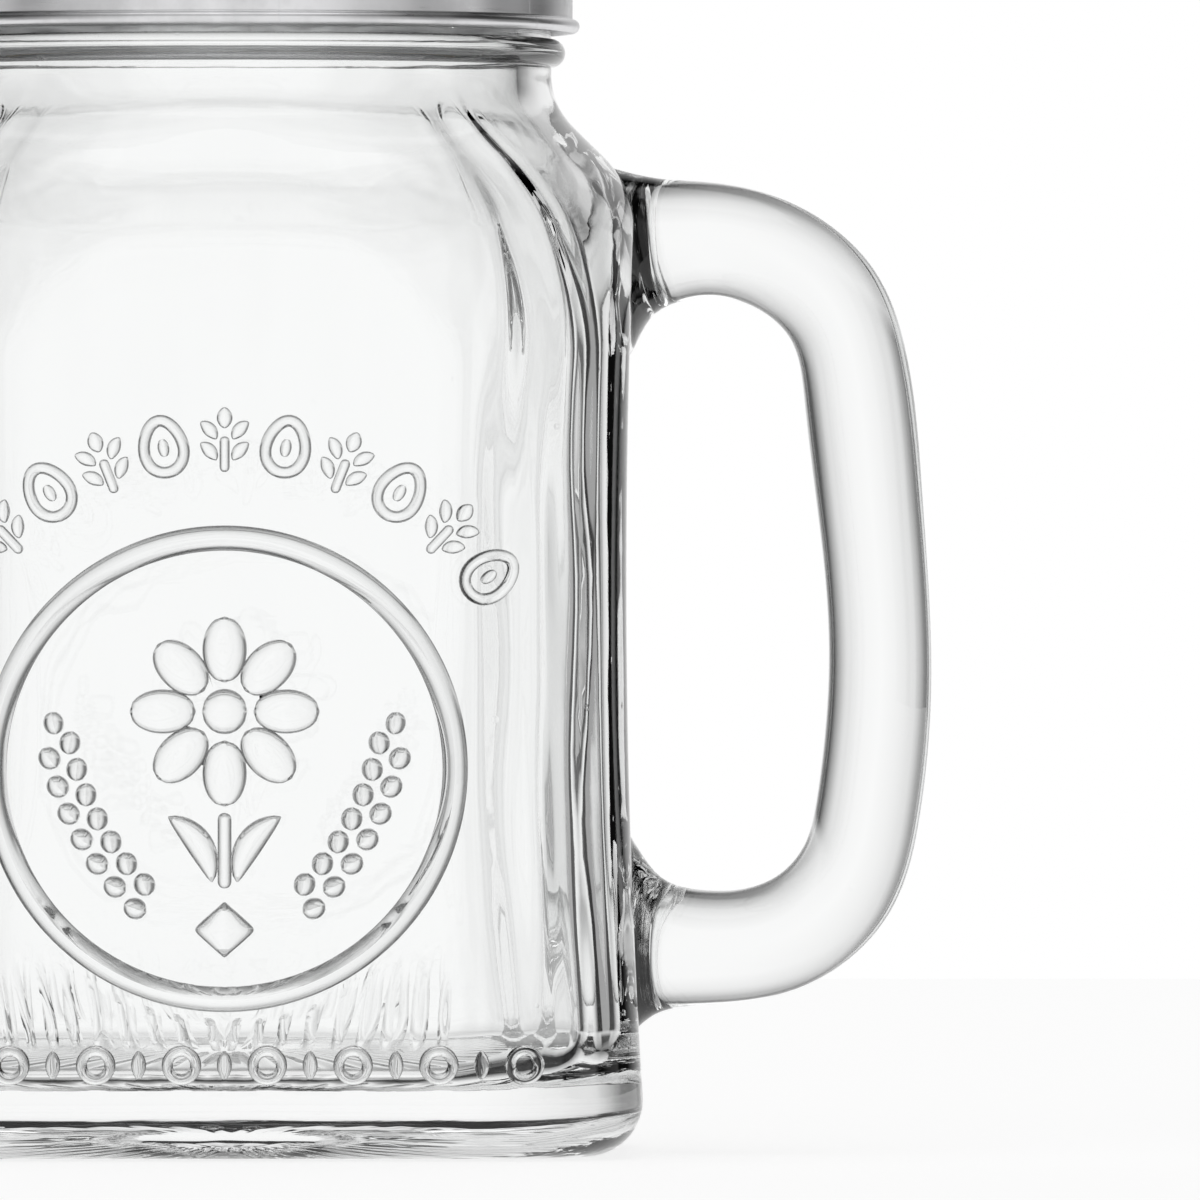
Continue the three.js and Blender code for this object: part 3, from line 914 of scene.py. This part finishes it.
finish = {
    "glass": {"colour": (0.992, 0.997, 0.995), "ior": 1.52, "swell": 0.55, "wrinkle": 0.10, "pits": 0.3,
              "chill": 1.3, "bump": 0.00013},
    "band_tin": {"colour": (0.75, 0.75, 0.76), "rough": 0.30, "grain": 0.16, "dulling": 0.7,
                 "scratches": 0.8},
    "disc_tin": {"colour": (0.79, 0.79, 0.80), "rough": 0.24, "grain": 0.12, "dulling": 0.5,
                 "scratches": 1.0},
    "seal": {"colour": (0.74, 0.67, 0.57), "rubbed": (0.60, 0.52, 0.42)},
}


def glassMaterial():
    # clear soda glass: full transmission; the skin swells slightly, with chill wrinkles and seeds
    material, tree, shader = nodeTree("clear_pressed_glass")
    soda = finish["glass"]
    setInputs(shader, {"Base Color": (*soda["colour"], 1), "Roughness": 0.0, "IOR": soda["ior"],
                       "Transmission Weight": 1.0})
    marks = placeGroup(tree, mouldMarks, Swell=soda["swell"], Wrinkle=soda["wrinkle"], Pits=soda["pits"])
    ridges = placeGroup(tree, chillLines)
    height = mathNode(tree, "MULTIPLY_ADD", ridges["Height"], soda["chill"], marks["Height"])
    bumpFrom(tree, shader, height, 1.0, soda["bump"])
    return material


def tinMaterial(name):
    # bright tinplate: roughness = base + dulling blotches + drawn grain; scratches lift it further
    material, tree, shader = nodeTree(name)
    tin = finish[name]
    setInputs(shader, {"Metallic": 1.0})
    marks = placeGroup(tree, handlingWear, Dulling=tin["dulling"], Scratches=tin["scratches"])
    twoTones(tree, shader, marks["Dull"], tin["colour"], [0.72 * part for part in tin["colour"]])
    level = mathNode(tree, "MULTIPLY_ADD", marks["Grain"], tin["grain"], tin["rough"] - tin["grain"] / 2)
    level = mathNode(tree, "MULTIPLY_ADD", marks["Dull"], 0.22, level)
    level = mathNode(tree, "MULTIPLY_ADD", marks["Scratch"], 0.12, level)
    tree.links.new(level, shader.inputs["Roughness"])
    height = mathNode(tree, "SUBTRACT", product(tree, marks["Grain"], 0.5), marks["Scratch"])
    bumpFrom(tree, shader, height, 0.25, 0.00004)
    return material


def sealMaterial():
    # matt sealing compound: two close tones mottled together, slightly darker where it is rubbed
    material, tree, shader = nodeTree("sealing_compound")
    marks = placeGroup(tree, handlingWear, Dulling=0.8, Scratches=0.3)
    skin = placeGroup(tree, mouldMarks, Swell=0.4, Wrinkle=0.5, Pits=0.6)
    twoTones(tree, shader, marks["Dull"], finish["seal"]["colour"], finish["seal"]["rubbed"])
    tree.links.new(mathNode(tree, "MULTIPLY_ADD", marks["Grain"], 0.2, 0.5), shader.inputs["Roughness"])
    bumpFrom(tree, shader, skin["Height"], 0.4, 0.0001)
    return material


for piece, material in ((glass, glassMaterial()), (band, tinMaterial("band_tin")),
                        (disc, tinMaterial("disc_tin")), (gasket, sealMaterial())):
    piece.data.materials.clear()
    piece.data.materials.append(material)
    print(piece.name, "material", material.name)


# camera, floor and light

# in metres, but for the sensor; width is what the frame takes in at the aim
camera = {"distance": 2.4, "aim": (0.0394, 0, 0.0588), "width": 0.1282, "sensor": 36}


def addCamera():
    # looks level along +Y; focal length = sensor * distance / width
    data = bpy.data.cameras.new("camera")
    obj = bpy.data.objects.new("camera", data)
    bpy.context.scene.collection.objects.link(obj)
    data.sensor_width = camera["sensor"]
    data.lens = camera["sensor"] * camera["distance"] / camera["width"]
    data.clip_start = 0.05
    data.clip_end = 30
    obj.location = (camera["aim"][0], -camera["distance"], camera["aim"][2])
    obj.rotation_euler = (pi / 2, 0, 0)
    bpy.context.scene.camera = obj


# brightness of the room by direction, as graphs of (degrees, level). Turn is counted from straight
# behind the jar, rise up from level. behind holds up to the turn roundFrom, where the light is a
# bright panel with a dark surround, and round holds further on; low takes over from behindTurn below
# the rise lowFrom, and the ceiling above ceilingFrom
studio = {
    "behindTurn": [(-90, 0.15), (-77, 0.13), (-73, 0.03), (-65, 0.03), (-61, 0.16), (-47, 0.2),
                   (-42, 0.22), (-38, 0.32), (-35.5, 0.43), (-31.5, 0.6), (-28, 0.72), (-24, 0.76),
                   (-18, 0.83), (-12, 0.88), (0, 0.95), (10, 0.92), (20, 0.84), (27, 0.74), (31.5, 0.63),
                   (35.5, 0.46), (40.5, 0.24), (43, 0.12), (45, 0.03), (58.5, 0.03), (60.5, 0.36),
                   (74, 0.40), (80, 0.2), (90, 0.2)],
    "lowTurn": [(0, 0.95), (15, 0.90), (27, 0.82), (36, 0.66), (44, 0.60), (60, 0.85), (90, 0.9)],
    "behindRise": [(-90, 1.0), (-80, 1.0), (-76, 0.5), (-68, 0.45), (-64, 0.3), (-61.5, 0.06),
                   (-55, 0.06), (-52, 0.15), (-47, 0.23), (-43, 0.31), (-39, 0.43), (-35, 0.58),
                   (-31, 0.74), (-28, 0.8), (-24, 0.87), (-19, 0.94), (-13, 1.0), (20, 1.0), (25, 0.96),
                   (32, 0.9), (36, 0.82), (41, 0.66), (46, 0.46), (53, 0.33), (61, 0.22), (65, 1.25),
                   (90, 1.25)],
    "roundTurn": [(60, 0.03), (82, 0.03), (87, 0.8), (99, 0.8), (105, 0.10), (112, 0.10), (116, 0.6),
                  (138, 0.6), (144, 1), (180, 1)],
    "roundRise": [(-90, 0.85), (-60, 0.8), (-12, 0.9), (-6, 1.0), (32, 1.0), (38, 0.5), (58, 0.5),
                  (64, 1.3), (90, 1.3)],
    # darkness of the room's corners, by degrees up or down and by degrees from straight behind
    "cornerRise": [(0, 0), (10, 0), (20, 1), (58, 1), (64, 0), (90, 0)],
    "cornerAway": [(0, 0), (52, 0), (57, 0.88), (98, 0.88), (104, 0), (180, 0)],
    "lowFrom": (-9, -13), "roundFrom": (68, 80), "ceilingFrom": (62, 67),
    "seen": 1.0, "ceiling": 1.25,
    "floorReach": 1100, "floorDrop": 0.2, "floorTone": 0.32, "floorGlow": 0.80,
}


def curveNode(tree, source, graph):
    # a value looked up along one of the studio's graphs: a straight-line colour ramp scaled by its
    # highest level
    pairs = studio[graph]
    low, high = pairs[0][0], pairs[-1][0]
    top = max(level for _, level in pairs)
    ramp = tree.nodes.new("ShaderNodeValToRGB")
    tree.links.new(rampNode(tree, source, low, high), ramp.inputs["Fac"])
    elements = ramp.color_ramp.elements
    for i, (place, level) in enumerate(pairs):
        spot = (place - low) / (high - low)
        stop = elements[i] if i < 2 else elements.new(spot)
        stop.position = spot
        stop.color = (level / top, level / top, level / top, 1)
    return product(tree, ramp.outputs["Color"], top)


def degrees(tree, operation, *values):
    return mathNode(tree, "DEGREES", mathNode(tree, operation, *values))


def worldLight():
    # strength = behind(turn) * behind(rise) blended into round(turn) * round(rise), times 1 - the
    # corners' darkness, blended into the ceiling; what the camera sees directly is plain white
    world = bpy.data.worlds.new("studio")
    bpy.context.scene.world = world
    world.use_nodes = True
    tree = world.node_tree
    tree.nodes.clear()
    out = tree.nodes.new("ShaderNodeOutputWorld")
    mix = tree.nodes.new("ShaderNodeMixShader")
    seen = tree.nodes.new("ShaderNodeBackground")
    light = tree.nodes.new("ShaderNodeBackground")
    setInputs(seen, {"Color": (1, 1, 1, 1), "Strength": studio["seen"]})
    setInputs(light, {"Color": (1, 1, 1, 1)})
    path = tree.nodes.new("ShaderNodeLightPath")
    coords = tree.nodes.new("ShaderNodeTexCoord")
    split = tree.nodes.new("ShaderNodeSeparateXYZ")
    tree.links.new(coords.outputs["Generated"], split.inputs[0])
    x, y, z = split.outputs
    signed = degrees(tree, "ARCTAN2", x, y)
    turn = degrees(tree, "ARCTAN2", mathNode(tree, "ABSOLUTE", x), y)
    rise = degrees(tree, "ARCSINE", z)
    away = degrees(tree, "ARCCOSINE", y)
    steep = mathNode(tree, "ABSOLUTE", rise)
    behind = curveNode(tree, signed, "behindTurn")
    low = curveNode(tree, turn, "lowTurn")
    behind = blendNode(tree, rampNode(tree, rise, *studio["lowFrom"]), behind, low)
    behind = product(tree, behind, curveNode(tree, rise, "behindRise"))
    around = product(tree, curveNode(tree, turn, "roundTurn"), curveNode(tree, rise, "roundRise"))
    strength = blendNode(tree, rampNode(tree, turn, *studio["roundFrom"]), behind, around)
    dark = product(tree, curveNode(tree, steep, "cornerRise"), curveNode(tree, away, "cornerAway"))
    strength = product(tree, strength, mathNode(tree, "SUBTRACT", 1.0, dark))
    strength = blendNode(tree, rampNode(tree, rise, *studio["ceilingFrom"]), strength, studio["ceiling"])
    tree.links.new(strength, light.inputs["Strength"])
    tree.links.new(path.outputs["Is Camera Ray"], mix.inputs["Fac"])
    tree.links.new(light.outputs[0], mix.inputs[1])
    tree.links.new(seen.outputs[0], mix.inputs[2])
    tree.links.new(mix.outputs[0], out.inputs["Surface"])


def floorMaterial():
    # nearly white by its own glow, with a soft diffuse share that takes the contact shadow
    material, _, shader = nodeTree("pale_floor")
    tone = studio["floorTone"]
    setInputs(shader, {"Base Color": (tone, tone, tone, 1), "Roughness": 1.0, "Specular IOR Level": 0.0,
                       "Emission Color": (1, 1, 1, 1), "Emission Strength": studio["floorGlow"]})
    return material


def addFloor():
    # a wide sheet just under the base; light that has come through the glass sees the room instead
    reach, level = float(studio["floorReach"]), -studio["floorDrop"]
    floor = makeObject("floor", [(-reach, -reach, level), (reach, -reach, level), (reach, reach, level),
                                 (-reach, reach, level)], [(0, 1, 2, 3)])
    floor.data.materials.append(floorMaterial())
    floor.visible_transmission = False


addCamera()
worldLight()
addFloor()
scene = bpy.context.scene
scene.view_settings.view_transform = "Standard"
scene.cycles.max_bounces = 24
scene.cycles.transmission_bounces = 24
scene.cycles.glossy_bounces = 7          # reflections inside the glass end in the dark after these
print("camera, light and floor set")
